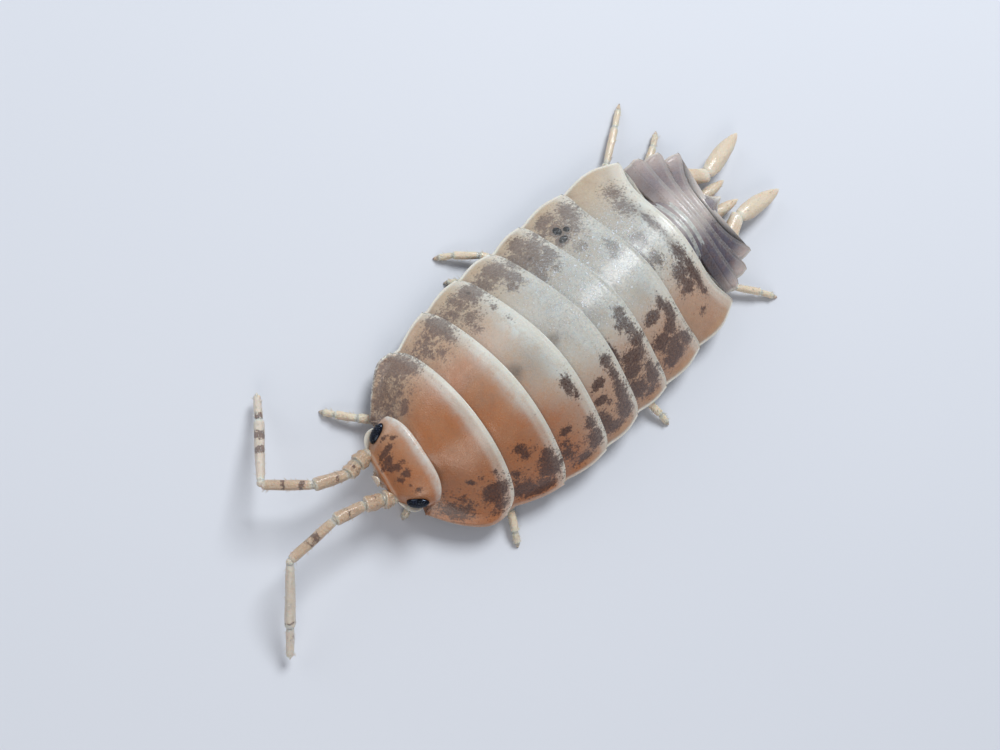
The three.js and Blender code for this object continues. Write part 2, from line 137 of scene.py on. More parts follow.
# Markings, in hundredths: for each plate, places across (-100 right rim, 0 midline, 100 left rim) and
# along (0 front, 100 rear), their two radii and how dense the pigment is
MARKS = {
    "pereonite_1": [
        (-74, 25, 20, 30, 62), (-70, 70, 20, 30, 72), (-55, 85, 8, 20, 70), (-42, 24, 5, 12, 70),
        (-50, 40, 4, 10, 60), (-42, 50, 3, 8, 50), (39, 42, 2.5, 7, 80), (37, 60, 2.5, 6, 60),
        (38.5, 85, 2.5, 6, 70), (46, 60, 3, 12, 55), (54, 75, 8, 20, 100), (60, 30, 9, 15, 60),
        (72, 22, 12, 20, 75), (70, 80, 14, 16, 65),
    ],
    "pereonite_2": [
        (-62, 85, 14, 16, 85), (-56, 28, 12, 14, 60), (-45, 42, 7, 20, 50), (-50, 80, 10, 14, 60),
        (33.5, 40, 2.8, 13, 85), (39, 45, 3, 9, 85), (38, 66, 2, 6, 65), (50, 16, 3.5, 8, 80),
        (50, 80, 6, 14, 90), (59, 78, 9, 20, 100), (68, 20, 10, 20, 85), (76, 50, 10, 34, 85),
        (62, 50, 5, 12, 50),
    ],
    "pereonite_3": [
        (-63, 82, 9, 18, 95), (-68, 50, 8, 20, 60), (-47, 38, 8, 22, 60), (-37, 28, 4, 14, 55),
        (-40, 86, 3, 8, 60), (-28, 86, 3, 7, 45), (19, 80, 5.5, 10, 90), (27, 86, 3.5, 6, 80),
        (41.5, 32, 2.2, 12, 100), (50, 20, 5, 12, 60), (58, 20, 7, 16, 80), (49, 84, 5, 12, 85),
        (58, 60, 6, 12, 50), (64, 80, 9, 16, 95), (72, 45, 8, 30, 70),
    ],
    "pereonite_4": [
        (-60, 20, 9, 20, 70), (-63, 60, 9, 28, 85), (-48, 76, 6, 14, 90), (-42, 52, 3.5, 10, 85),
        (-72, 75, 8, 20, 50), (32, 38, 2.8, 17, 100), (42, 28, 2.8, 15, 95), (47, 45, 3, 12, 60),
        (25, 82, 4, 11, 95), (35, 85, 5.5, 10, 90), (48, 80, 9, 14, 100), (63, 72, 11, 20, 95),
        (60, 15, 9, 14, 100), (70, 32, 6, 28, 85),
    ],
    "pereonite_5": [
        (-50, 40, 5.5, 28, 95), (-41, 50, 5, 33, 90), (-35, 14, 4, 14, 90), (-56, 72, 10, 18, 75),
        (-44, 86, 7, 10, 80), (-70, 50, 12, 25, 70), (-60, 14, 8, 14, 75), (-32, 60, 3, 20, 55),
        (10, 80, 3.5, 14, 95), (16, 70, 3.5, 20, 85), (21, 82, 3, 14, 90), (29, 82, 4.5, 18, 95),
        (27, 9, 7, 9, 95), (36, 50, 5, 33, 95), (44, 30, 4.5, 25, 100), (49, 78, 5, 16, 70),
        (60, 25, 9, 25, 95), (59, 76, 9, 18, 100), (70, 50, 7, 38, 75),
    ],
    "pereonite_6": [
        (-69, 30, 8, 24, 70), (-60, 78, 14, 15, 75), (-46, 62, 10, 22, 55), (-32, 35, 5, 20, 55),
        (-20, 82, 5, 10, 75), (-15, 64, 2.5, 10, 65), (-52, 34, 5, 10, 130), (-44, 28, 3, 13, 130),
        (-48, 50, 3, 8, 130), (26.5, 42, 3.2, 18, 100), (23, 76, 4, 10, 90), (33, 86, 6, 10, 100),
        (40, 68, 5, 16, 95), (44, 35, 5, 22, 100), (52, 52, 5.5, 26, 90), (61, 45, 7, 28, 95),
        (58, 86, 8, 12, 95), (67, 30, 4, 18, 85),
    ],
    "pereonite_7": [
        (-12, 30, 4.5, 12, 95), (3, 28, 5, 14, 85), (-4, 8, 9, 5, 100), (-50, 68, 10, 18, 60),
        (-35, 64, 9, 18, 65), (-16, 76, 10, 10, 60), (10, 74, 8, 13, 80), (20, 55, 7, 20, 85),
        (30, 52, 5, 18, 85), (26, 80, 13, 10, 90), (40, 78, 8, 10, 70), (53, 50, 3.5, 10, 70),
    ],
    "head": [
        (-40, 38, 6, 12, 85), (-38, 22, 7, 10, 85), (-20, 24, 8, 10, 90), (-16, 10, 8, 8, 70),
        (0, 34, 6, 8, 85), (-4, 20, 6, 8, 70), (16, 42, 6, 8, 100), (22, 26, 6, 8, 80),
        (8, 50, 5, 6, 70), (-4, 50, 4, 6, 60), (55, 50, 5, 6, 85), (40, 36, 5, 6, 60),
        (-50, 60, 5, 8, 65), (-62, 42, 5, 10, 60),
    ],
}

# The marks of the right side are a little denser than those of the left
RIGHT_MARKS = 1.15

# Grey shadows near the midline, written as the markings are
PAINTED_SHADE_PATCHES = {
    "pereonite_2": [(-5, 30, 10, 30, 30), (-18, 35, 5, 25, 30)],
    "pereonite_3": [(-4, 15, 6, 25, 90), (-3, 50, 13, 50, 45)],
    "pereonite_4": [(-4, 15, 4.5, 25, 100), (-5, 30, 12, 40, 40)],
    "pereonite_5": [(2, 30, 6, 30, 50)],
    "pereonite_6": [(-5, 20, 5, 20, 40), (10, 50, 8, 30, 30)],
    "pereonite_7": [(-10, 80, 45, 12, 60)],
}

# Relief of a plate, as (place, spread, height): along it, and out towards its sides
LENGTH_RELIEF = [(0.95, 0.06, 0.006), (0.1, 0.1, -0.02)]
SIDE_RELIEF = [(0.88, 0.07, 0.03), (0.74, 0.07, -0.025)]

# Tail plate: half widths at tip and root, and the levels of rim, ridge and underside from root to tip
TELSON_TIP_HALF = 0.12
TELSON_ROOT_HALF = 1.32
TELSON_RIM = [1.45, 1.1]
TELSON_RIDGE = [2.0, 1.18]
TELSON_UNDER = [1.15, 0.92]

# Head: how boxy its section is, how it narrows and sinks towards the face, its lowest line and its lobes
HEAD_BOXINESS = 0.85
HEAD_TAPER = 0.8
HEAD_DROP = 0.8
HEAD_LOW = 1.0
CHIN_RISE = 0.3
FACE_BULGE = 0.12
SIDE_LOBE_ANGLE = 0.12
SIDE_LOBE_REACH = 0.24
MIDDLE_LOBE = 0.2
MIDDLE_LOBE_TOP = 1.98

# Eyes: angle round the head, place along it, half sizes, and the spacing and half sizes of the facets
EYE_ANGLE = 0.5
EYE_PLACE = 0.34
EYE_LENGTH = 0.42
EYE_WIDTH = 0.22
EYE_HEIGHT = 0.2
EYE_SUNK = 0.04
FACET_SPACING = [0.25, 0.33]
FACET_SIZES = [0.058, 0.048, 0.026]
FACET_SUNK = 0.012

# Outlines of a limb article, a pointed tip and a tail blade, as places along and relative radii, and the
# radius of a hair at its root
ARTICLE = [
    (0.0, 0.6), (0.03, 0.74), (0.1, 0.82), (0.3, 0.9), (0.55, 0.95), (0.8, 1.01), (0.92, 1.05),
    (0.97, 1.02), (1.0, 0.86), (1.01, 0.6),
]
TIP = [(0.0, 1.0), (0.3, 0.95), (0.6, 0.7), (0.85, 0.4), (1.0, 0.12)]
BLADE = [
    (0.0, 0.55), (0.05, 0.8), (0.2, 1.0), (0.45, 1.0), (0.7, 0.8), (0.88, 0.48), (0.97, 0.2),
    (1.0, 0.06),
]
HAIR = 0.011

# Feeler articles: radii, and dark rings as (place, spread, strength)
PEDUNCLE_RADII = [0.33, 0.29, 0.24, 0.21]
WHIP_RADII = [0.18, 0.19]
WHIP_END_RADII = [0.18, 0.13]
WHIP_TIP = 0.16
FEELER_SPOTS = {
    "left": [
        [], [(0.5, 0.2, 0.5)], [(0.6, 0.12, 0.6)], [(0.45, 0.12, 0.75), (0.62, 0.07, 0.55)],
        [(0.92, 0.06, 0.6)], [(0.3, 0.2, 0.5)],
    ],
    "right": [
        [], [(0.5, 0.2, 0.6)], [(0.35, 0.12, 0.6)], [(0.25, 0.08, 0.8), (0.6, 0.08, 0.75)],
        [(0.5, 0.09, 0.85), (0.75, 0.1, 0.9)], [(0.15, 0.2, 0.8)],
    ],
}

# Leg articles: joints from root to claw, radii, and the claw's dark end
LEG_JOINTS = [0, 0.14, 0.4, 0.62, 0.84, 0.95]
LEG_ROOT_RADIUS = 0.26
LEG_ROOT_RISE = 0.12
LEG_RADII = [0.24, 0.22, 0.2, 0.18, 0.15]
CLAW_RADII = [0.11, 0.08]
CLAW_SPOTS = [(0.85, 0.2, 0.9)]

# Bases of the tail limbs: inner and outer edge and top from front to rear, underside and rear end
BASE_INNER = [1.42, 0.8]
BASE_OUTER = [2.1, 1.45]
BASE_TOP = [1.26, 1.06]
BASE_UNDER = 0.62
BASE_REAR = 18.85

# Blades of the tail limbs; hairs are their reach along the blade, distance out, number and length
BLADES = {
    "exopod": {
        "root": [1.12, 18.84, 0.85], "left": [1.2, 21.4, 0.5], "right": [1.8, 21.4, 0.5],
        "radii": [0.37, 0.37], "flat": 0.62, "warm": 0.15, "hairs": [0.8, 0.24, 44, 0.13],
    },
    "endopod": {
        "root": [0.42, 17.85, 0.52], "left": [0.5, 19.5, 0.52], "right": [0.5, 19.5, 0.52],
        "radii": [0.25, 0.24], "flat": 0.85, "warm": 0.2, "hairs": [0.85, 0.2, 26, 0.12],
    },
}

# Belly: its ends, half width, level, how deep it hangs, and how far it stays under the back
BELLY_ENDS = [1.75, 15.1]
BELLY_HALF = 2.0
BELLY_LEVEL = 1.3
BELLY_DEPTH = 0.28
BELLY_SWELL = 0.14
BELLY_COVER = 0.7
SEGMENT_ENDS = [1.9] + TRUNK_REARS
SEGMENT_TOPS = [2.3] + TRUNK_RIDGES

# Gill plates: their pairs, and the body that carries them
GILL_PAIRS = 5
GILL_FRONT = 14.95
GILL_STEP = 0.42
GILL_LENGTH = 0.95
GILL_HALF = 0.78
GILL_NARROWING = 0.07
GILL_LEVEL = 0.86
GILL_BODY_ENDS = [14.9, 17.6]
GILL_BODY_HALVES = [1.5, 0.9]
GILL_BODY_LEVEL = 1.25

# Mouthparts on each side: distance from the midline, along the body and up, then three half sizes
MOUTH_PLATES = [
    (0.34, 0.85, 0.72, 0.3, 0.55, 0.16),
    (0.62, 1.15, 0.84, 0.26, 0.5, 0.14),
    (0.2, 0.42, 0.98, 0.2, 0.26, 0.16),
]
MOUTH_ENDS = [0.5, 1.75]
MOUTH_LEVEL = 0.95

# Colours, as linear values
CREAM = (0.50, 0.40, 0.28)
ORANGE = (0.40, 0.150, 0.055)
DEEP_TAN = (0.24, 0.11, 0.055)
# Milky tissue colour, also a painted bluish sheen along the plates' rear margins
MILK_AND_SHEEN = (0.60, 0.61, 0.56)
# Painted grey shade, near the midline and at each plate's front under the plate before
PAINTED_SHADE = (0.15, 0.12, 0.095)
# Painted sparkle highlight: the bright grains of a wet sheen on the back
SPARKLE_HIGHLIGHT = (0.92, 0.94, 0.95)
# Painted grey round the sparkle's bright grains
SPARKLE_SHADE = (0.30, 0.30, 0.27)
PALE_RIM = (0.74, 0.70, 0.60)
BROWN = (0.048, 0.017, 0.010)
GREY_PURPLE = (0.075, 0.043, 0.040)
NEAR_BLACK = (0.008, 0.005, 0.004)
TAIL_PALE = (0.46, 0.39, 0.36)
TAIL_GREY = (0.095, 0.088, 0.115)
LIMB = (0.70, 0.60, 0.45)
FEELER = (0.60, 0.47, 0.34)
LIMB_WARM = (0.45, 0.24, 0.12)
WHIP = (0.66, 0.62, 0.53)
SPOT = (0.10, 0.05, 0.04)
EYE_DARK = (0.002, 0.002, 0.003)
EYE_BLUE = (0.006, 0.008, 0.02)
EYE_TINT = (0.6, 0.75, 1.0, 1.0)
FLOOR_COLOURS = [(0.62, 0.64, 0.68), (0.66, 0.67, 0.70)]
ROOM_COLOUR = (0.82, 0.87, 1.0, 1.0)

# Studio, in metres: half size of the floor; place, size, power and colour of each light; the room's glow
FLOOR_HALF = 0.6
LIGHTS = {
    "sky_softbox": ((-0.05, 0.10, 0.14), 0.08, 0.27, (0.92, 0.96, 1.0)),
    "front_fill": ((0.10, -0.12, 0.12), 0.12, 0.09, (1.0, 0.95, 0.88)),
    "side_fill": ((-0.14, -0.03, 0.08), 0.10, 0.05, (0.9, 0.95, 1.0)),
}
ROOM_STRENGTH = 0.33


# Small shared helpers
def lerp(a, b, t):
    return a + (b - a) * t


def ease(low, high, value):
    """0 below low, 1 above high, smooth between them."""
    t = np.clip((value - low) / (high - low), 0, 1)
    return t * t * (3 - 2 * t)


def arch(s):
    """The height of a plate across the body: 1 on the midline, 0 at either margin."""
    return np.cos(np.pi / 2 * np.abs(s))


def unit(v):
    return v / np.maximum(np.linalg.norm(v, axis=-1, keepdims=True), 1e-9)


def bell(value, middle, spread):
    """1 at the middle, fading to either side."""
    return np.exp(-((value - middle) / spread) ** 2)


def relief(value, bands):
    """The sum of soft bands, each (place, spread, height)."""
    return sum(height * bell(value, place, spread) for place, spread, height in bands)


def rounded(t, cut, power):
    """The relative width of a shape that is rounded and cut off at both ends."""
    return math.sin(math.pi * (cut + (1 - 2 * cut) * t)) ** power


def boxy(wave, power):
    """A sine or cosine pushed outwards, for sections between an oval and a box."""
    return np.sign(wave) * np.abs(wave) ** power


def round_angles(count):
    return np.linspace(0, 2 * np.pi, count + 1)[:-1]


def oval(centre, one, two, radius_one, radius_two, angles):
    """A ring round a centre, spanned by two directions."""
    across = np.outer(radius_one * np.cos(angles), one)
    return centre + across + np.outer(radius_two * np.sin(angles), two)


def bend(x, y, z):
    """Points of the straight body moved onto the curved spine, straight on beyond its ends."""
    x, y, z = np.broadcast_arrays(np.asarray(x, float), y, z)
    along = np.clip(y, SPINE_FROM, SPINE_TO)
    a = along - SPINE_MIDDLE
    side = SPINE_BOW * a ** 2 + SPINE_TWIST * a ** 3
    turn = np.arctan(2 * SPINE_BOW * a + 3 * SPINE_TWIST * a ** 2)
    beyond = y - along
    return np.stack([
        side + beyond * np.sin(turn) + x * np.cos(turn),
        along + beyond * np.cos(turn) - x * np.sin(turn),
        z,
    ], -1)


def on_side(side, place):
    """A place of one side, given by its distance from the midline, along the body and up."""
    x, y, z = place
    return bend(side * x, y, z)


def frame_shift():
    """How far the frame's origin is from the modelling origin, from the tail plate's tip."""
    points = np.array([v.co for v in NODES["telson"].data.vertices]) / MM
    tip = points[points[:, 1] > points[:, 1].max() - 0.2]
    middle = (tip.min(0) + tip.max(0)) / 2
    shift = middle - bend(0, TELSON_TIP, 0)
    return np.array([shift[0], shift[1], 0])


SHIFT = frame_shift()


# Mesh building
def add_object(name, data):
    obj = bpy.data.objects.new(name, data)
    bpy.context.scene.collection.objects.link(obj)
    return obj


def ring_faces(rings, count, first=0):
    """Quads joining closed rings of equal count."""
    i, j = np.meshgrid(np.arange(rings - 1), np.arange(count), indexing="ij")
    a = first + i * count + j
    b = first + i * count + (j + 1) % count
    return np.stack([a, b, b + count, a + count], -1).reshape(-1, 4)


class Build:
    """Gathers lofted parts, in millimetres, with their per-point layers, into one mesh."""

    LAYERS = ("pigment", "warm", "milk", "rim", "cool", "painted_shade", "painted_sparkle")

    def __init__(self):
        self.points = []
        self.faces = []
        self.layers = {name: [] for name in self.LAYERS}
        self.count = 0

    def loft(self, rings, **layers):
        """Adds closed rings, [rings, points, xyz]; the end rings are points or are closed flat."""
        rings = np.array(rings)
        amount, around = rings.shape[:2]
        ends = [np.repeat(rings[i].mean(0)[None], around, 0)[None] for i in (0, -1)]
        closed = np.concatenate([ends[0], rings, ends[1]])
        self.faces.append(ring_faces(amount + 2, around, self.count))
        self.points.append(closed.reshape(-1, 3))
        for name in self.LAYERS:
            values = np.broadcast_to(np.asarray(layers.get(name, 0.0), float), (amount, around))
            values = np.concatenate([values[:1], values, values[-1:]])
            self.layers[name].append(values.reshape(-1))
        self.count += (amount + 2) * around

    def piece(self, name, material, nodes=()):
        mesh = bpy.data.meshes.new(name)
        points = np.concatenate(self.points) + SHIFT
        points[:, 2] = np.maximum(points[:, 2], FLOOR_OFF)
        points = points * MM
        mesh.from_pydata(points.tolist(), [], np.concatenate(self.faces).tolist())
        for layer, values in self.layers.items():
            made = mesh.attributes.new(layer, "FLOAT", "POINT")
            made.data.foreach_set("value", np.concatenate(values).astype(np.float32))
        work = bmesh.new()
        work.from_mesh(mesh)
        bmesh.ops.remove_doubles(work, verts=work.verts, dist=1e-7)
        bmesh.ops.dissolve_degenerate(work, edges=work.edges, dist=1e-8)
        bmesh.ops.recalc_face_normals(work, faces=work.faces)
        work.to_mesh(mesh)
        work.free()
        mesh.polygons.foreach_set("use_smooth", [True] * len(mesh.polygons))
        mesh.materials.append(material)
        obj = add_object(name, mesh)
        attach(obj, "root")
        if nodes:
            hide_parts(*nodes)


# Node materials
def new_material(name, roughness, coat=0.0, subsurface=0.0, coat_roughness=0.12):
    material = bpy.data.materials.new(name)
    material.use_nodes = True
    tree = material.node_tree
    shader = tree.nodes["Principled BSDF"]
    settings = {
        "Roughness": roughness, "IOR": 1.5, "Coat Weight": coat, "Coat Roughness": coat_roughness,
        "Subsurface Weight": subsurface, "Subsurface Radius": (1.0, 0.55, 0.35), "Subsurface Scale": 0.0003,
    }
    for socket, value in settings.items():
        shader.inputs[socket].default_value = value
    return material, tree, shader


class Graph:
    """Short forms for the nodes used here."""

    def __init__(self, tree):
        self.tree = tree
        place = tree.nodes.new("ShaderNodeTexCoord")
        scale = tree.nodes.new("ShaderNodeVectorMath")
        scale.operation = "SCALE"
        scale.inputs["Scale"].default_value = 1 / MM
        tree.links.new(place.outputs["Object"], scale.inputs[0])
        self.place = scale.outputs[0]

    def put(self, socket, value):
        if isinstance(value, bpy.types.NodeSocket):
            self.tree.links.new(value, socket)
        elif isinstance(value, (tuple, list)) and len(value) == 3 and socket.type == "RGBA":
            socket.default_value = (*value, 1.0)
        else:
            socket.default_value = value

    def add(self, kind, inputs):
        node = self.tree.nodes.new("ShaderNode" + kind)
        for name, value in inputs.items():
            self.put(node.inputs[name], value)
        return node

    def layer(self, name):
        node = self.add("Attribute", {})
        node.attribute_name = name
        return node.outputs["Fac"]

    def noise(self, scale, detail=4.0, roughness=0.6, distortion=0.0):
        settings = {"Scale": scale, "Detail": detail, "Roughness": roughness, "Distortion": distortion}
        return self.add("TexNoise", {"Vector": self.place, **settings}).outputs["Fac"]

    def cells(self, scale):
        return self.add("TexVoronoi", {"Vector": self.place, "Scale": scale}).outputs["Distance"]

    def math(self, operation, a, b, clamp=False):
        node = self.add("Math", {0: a, 1: b})
        node.operation = operation
        node.use_clamp = clamp
        return node.outputs[0]

    def plus(self, a, b, clamp=False):
        return self.math("ADD", a, b, clamp)

    def times(self, a, b, clamp=False):
        return self.math("MULTIPLY", a, b, clamp)

    def rest(self, value):
        return self.math("SUBTRACT", 1.0, value)

    def spread(self, value, amount):
        """A noise moved from round 0.5 to round 0, and scaled."""
        return self.times(self.math("SUBTRACT", value, 0.5), amount)

    def step(self, value, low, high, to_low=0.0, to_high=1.0):
        ends = {"From Min": low, "From Max": high, "To Min": to_low, "To Max": to_high}
        node = self.add("MapRange", {"Value": value, **ends})
        node.interpolation_type = "SMOOTHSTEP"
        return node.outputs["Result"]

    def mix(self, factor, a, b):
        node = self.add("Mix", {"Factor": factor})
        node.data_type = "RGBA"
        colours = [socket for socket in node.inputs if socket.type == "RGBA"]
        self.put(colours[0], a)
        self.put(colours[1], b)
        return next(socket for socket in node.outputs if socket.type == "RGBA")

    def bump(self, shader, height, distance, strength):
        node = self.add("Bump", {"Strength": strength, "Distance": distance * MM, "Height": height})
        self.tree.links.new(node.outputs["Normal"], shader.inputs["Normal"])


def tissue(g, cream, orange, broad, cloud):
    """Cream to orange tissue with milky zones and a painted bluish sheen, painted grey shade and pale rims.
    """
    warm = g.plus(g.layer("warm"), g.spread(broad, 0.5), True)
    colour = g.mix(warm, cream, orange)
    colour = g.mix(g.times(g.step(cloud, 0.35, 0.75), 0.3), colour, DEEP_TAN)
    # Milky zones, and the painted bluish sheen along rear margins
    milk = g.times(g.layer("milk"), g.step(cloud, 0.3, 0.62, 0.5, 1.0), True)
    colour = g.mix(milk, colour, MILK_AND_SHEEN)
    # Painted grey shade
    painted_shade = g.times(g.layer("painted_shade"), g.step(cloud, 0.25, 0.7, 0.6, 1.0), True)
    colour = g.mix(painted_shade, colour, PAINTED_SHADE)
    rim = g.times(g.layer("rim"), g.step(broad, 0.2, 0.6, 0.65, 1.0), True)
    return g.mix(rim, colour, PALE_RIM)


def pigmented(g, colour, cloud):
    """A colour with lacy patches and stipple of brown to grey purple pigment."""
    pigment, cool = g.layer("pigment"), g.layer("cool")
    field = g.plus(pigment, g.spread(g.noise(5.0, 8.0, 0.78, 0.8), 1.9))
    dots = g.rest(g.step(g.cells(8.5), 0.22, 0.46))
    sparse = g.times(dots, g.step(field, 0.1, 0.45))
    mask = g.math("MAXIMUM", g.step(field, 0.42, 0.64), g.times(sparse, 0.85))
    dark = g.mix(g.plus(cool, g.spread(cloud, 0.8), True), BROWN, GREY_PURPLE)
    depth = g.step(g.noise(12.0, 4.0, 0.7), 0.3, 0.7, 0.7, 1.0)
    depth = g.times(depth, g.rest(g.times(cool, 0.2)))
    colour = g.mix(g.times(mask, depth, True), colour, dark)
    return g.mix(g.step(pigment, 1.02, 1.15), colour, NEAR_BLACK)


def shell_material(name, cream, orange, roughness):
    """Translucent, glossy cuticle with pigment and a painted sparkle highlight: bright grains over a
    painted grey.
    """
    material, tree, shader = new_material(name, roughness, coat=0.3, subsurface=0.15, coat_roughness=0.2)
    g = Graph(tree)
    broad = g.noise(0.9, 3.0, 0.55)
    cloud = g.noise(3.2, 5.0, 0.65)
    painted_sparkle = g.layer("painted_sparkle")
    grains = g.step(g.noise(9.0, 6.0, 0.85), 0.52, 0.6)
    colour = pigmented(g, tissue(g, cream, orange, broad, cloud), cloud)
    # Painted sparkle highlight: a painted grey zone, then bright grains
    colour = g.mix(g.times(painted_sparkle, 0.45), colour, SPARKLE_SHADE)
    colour = g.mix(g.times(painted_sparkle, grains, True), colour, SPARKLE_HIGHLIGHT)
    g.put(shader.inputs["Base Color"], colour)
    gloss = g.step(cloud, 0.25, 0.75, roughness - 0.08, roughness + 0.12)
    g.put(shader.inputs["Roughness"], g.plus(gloss, g.times(painted_sparkle, 0.12)))
    height = g.plus(g.times(g.noise(24.0, 3.0), 0.5), g.times(g.cells(16.0), 0.5))
    height = g.plus(height, g.times(g.times(painted_sparkle, grains), 3.0))
    g.bump(shader, height, 0.02, 0.6)
    return material


def limb_material(name, base, warm_tint, wrinkle=0.02):
    """Clear cuticle of limbs and belly, with pale joints and scattered spots."""
    material, tree, shader = new_material(name, 0.32, coat=0.4, subsurface=0.45)
    g = Graph(tree)
    cloud = g.noise(4.0, 5.0)
    colour = g.mix(g.times(g.layer("warm"), g.step(cloud, 0.2, 0.8, 0.5, 1.0)), base, warm_tint)
    colour = g.mix(g.layer("rim"), colour, PALE_RIM)
    field = g.plus(g.layer("pigment"), g.spread(g.noise(7.0, 6.0, 0.7), 1.4))
    colour = g.mix(g.times(g.step(field, 0.5, 0.66), 0.8), colour, SPOT)
    g.put(shader.inputs["Base Color"], colour)
    g.put(shader.inputs["Roughness"], g.step(cloud, 0.25, 0.75, 0.28, 0.46))
    folds = g.times(g.noise(6.0, 5.0, 0.7, 1.5), 2.0)
    g.bump(shader, g.plus(folds, g.cells(14.0)), wrinkle, 0.8)
    return material


def eye_material():
    """Glossy black with a faint blue tone in noisy patches."""
    material, tree, shader = new_material("eye_black", 0.12, coat=0.1, coat_roughness=0.05)
    shader.inputs["Specular IOR Level"].default_value = 0.3
    shader.inputs["Specular Tint"].default_value = EYE_TINT
    g = Graph(tree)
    depth = g.step(g.noise(9.0), 0.4, 0.7)
    g.put(shader.inputs["Base Color"], g.mix(depth, EYE_DARK, EYE_BLUE))
    g.put(shader.inputs["Roughness"], g.step(g.noise(14.0), 0.3, 0.7, 0.08, 0.2))
    g.bump(shader, g.noise(40.0), 0.004, 0.3)
    return material


HEAD_SHELL = shell_material("head_cuticle", CREAM, ORANGE, 0.28)
TRUNK_SHELL = shell_material("trunk_cuticle", CREAM, ORANGE, 0.28)
TAIL_SHELL = shell_material("tail_cuticle", TAIL_PALE, TAIL_GREY, 0.24)
LIMB_SKIN = limb_material("limb_cuticle", LIMB, LIMB_WARM)
FEELER_SKIN = limb_material("feeler_cuticle", FEELER, LIMB_WARM, 0.05)
WHIP_SKIN = limb_material("whip_cuticle", WHIP, LIMB_WARM)
BELLY_SKIN = limb_material("belly_cuticle", CREAM, ORANGE)
EYE_BLACK = eye_material()


# Back plates
def margin(y, sweep, width, power):
    """The curve of a rear margin: straight in the middle, its corners swept back or forward."""
    return lambda x: y + sweep * np.abs(x / width) ** power


def collar_front(x):
    """The first plate's front: hollow round the head, its corners reaching forward beside it."""
    sweep = HEAD_SWEEP * np.abs(x / HEAD_HALF_WIDTH) ** TRUNK_POWER
    out = np.abs(x / COLLAR_WIDTH)
    turn = np.clip((out - COLLAR_ROUND_FROM) / (1 - COLLAR_ROUND_FROM), 0, 1)
    blunt = COLLAR_ROUND * (1 - np.sqrt(1 - turn ** 2))
    return HEAD_REAR + GAP + sweep - COLLAR_REACH * out ** COLLAR_POWER + blunt


def just_behind(rear):
    """The front of the next plate, a small gap behind a rear margin."""
    return lambda x: rear(x) + GAP


def plate_specs():
    """The plates from the collar to the last tail plate, each with its margins and sizes."""
    specs = []
    front, width, ridge = collar_front, COLLAR_WIDTH + STEP_IN, HEAD_RIDGE
    for i, y in enumerate(TRUNK_REARS):
        rear = margin(y, TRUNK_SWEEPS[i], TRUNK_WIDTHS[i], TRUNK_POWER)
        specs.append({
            "name": f"pereonite_{i + 1}", "front": front, "rear": rear, "front_width": width - STEP_IN,
            "rear_width": TRUNK_WIDTHS[i], "bulge": TRUNK_BULGES[i], "front_ridge": ridge - STEP_DOWN,
            "rear_ridge": TRUNK_RIDGES[i], "edge": TRUNK_EDGE, "round": TRUNK_ROUNDS[i],
        })
        front, width, ridge = just_behind(rear), TRUNK_WIDTHS[i], TRUNK_RIDGES[i]
    for i, y in enumerate(PLEON_REARS):
        rear = margin(y, PLEON_SWEEPS[i], PLEON_WIDTHS[i], PLEON_POWER)
        specs.append({
            "name": f"pleonite_{i + 1}", "front": front, "rear": rear,
            "front_width": PLEON_WIDTHS[i] + (0 if i < 2 else 0.02), "rear_width": PLEON_WIDTHS[i],
            "bulge": PLEON_BULGE, "front_ridge": ridge - STEP_DOWN, "rear_ridge": PLEON_RIDGES[i],
            "edge": PLEON_EDGE, "round": PLEON_ROUND,
        })
        front, ridge = just_behind(rear), PLEON_RIDGES[i]
    return specs


def spots_at(spots, q, t, sharpness, right=1.0):
    """The strongest of a plate's soft spots at each place; right scales those of the right side."""
    total = np.zeros(np.broadcast(q, t).shape)
    for across, along, wide, long, strength in np.array(spots) / 100:
        distance = ((q - across) / wide) ** 2 + ((t - along) / long) ** 2
        spot = np.exp(-sharpness * distance) * strength * (right if across < 0 else 1)
        total = np.maximum(total, spot)
    return total


def pigment_at(name, q, t):
    return spots_at(MARKS[name], q, t, 0.45, RIGHT_MARKS)


